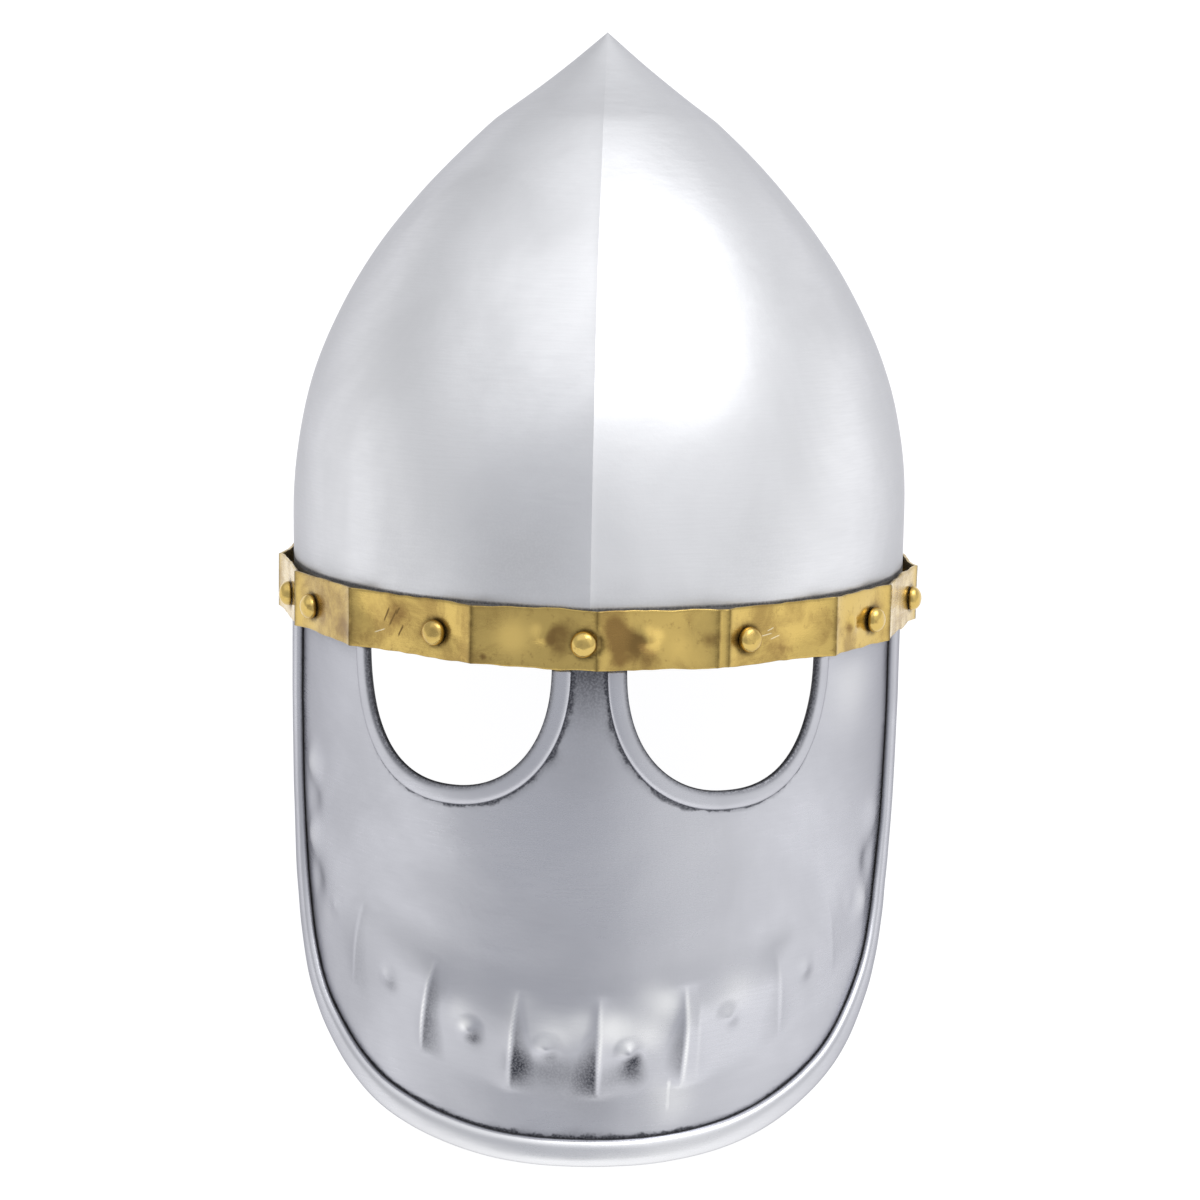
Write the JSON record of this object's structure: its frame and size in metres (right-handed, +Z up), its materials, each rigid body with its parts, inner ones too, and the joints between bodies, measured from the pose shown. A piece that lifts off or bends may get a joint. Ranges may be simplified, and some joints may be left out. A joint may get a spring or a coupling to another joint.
{
  "type": "nasal helmet with face mask",
  "caption": "Pointed steel helmet with a keeled bowl, a faceted brass brow band and a riveted steel face mask with eye openings and rolled edges, worn over the head.",
  "frame": {"origin": "centre of the footprint on the surface that the helmet rests on, tipped back on the jaw of its mask and the back of its band", "axes": "+Z up from the surface, -Y towards the front of the face, +X towards the viewer's right when the face is looked at"},
  "size_m": [0.2175, 0.3314, 0.2317],
  "materials": {
    "skull_steel": "polished sheet steel with a soft brushed sheen",
    "mask_steel": "polished sheet steel, a little duller than the bowl",
    "band_brass": "hand worked brass with brown patina and scratches",
    "rivet_brass": "polished brass"
  },
  "bodies": {
    "root": {"skull": "skull_steel", "brow_band": "band_brass", "face_mask": "mask_steel", "rivet_01": "rivet_brass", "rivet_02": "rivet_brass", "rivet_03": "rivet_brass", "rivet_04": "rivet_brass", "rivet_05": "rivet_brass", "rivet_06": "rivet_brass", "rivet_07": "rivet_brass", "rivet_08": "rivet_brass", "rivet_09": "rivet_brass", "rivet_10": "rivet_brass", "rivet_11": "rivet_brass", "rivet_12": "rivet_brass", "rivet_13": "rivet_brass", "rivet_14": "rivet_brass"}
  },
  "joints": []
}
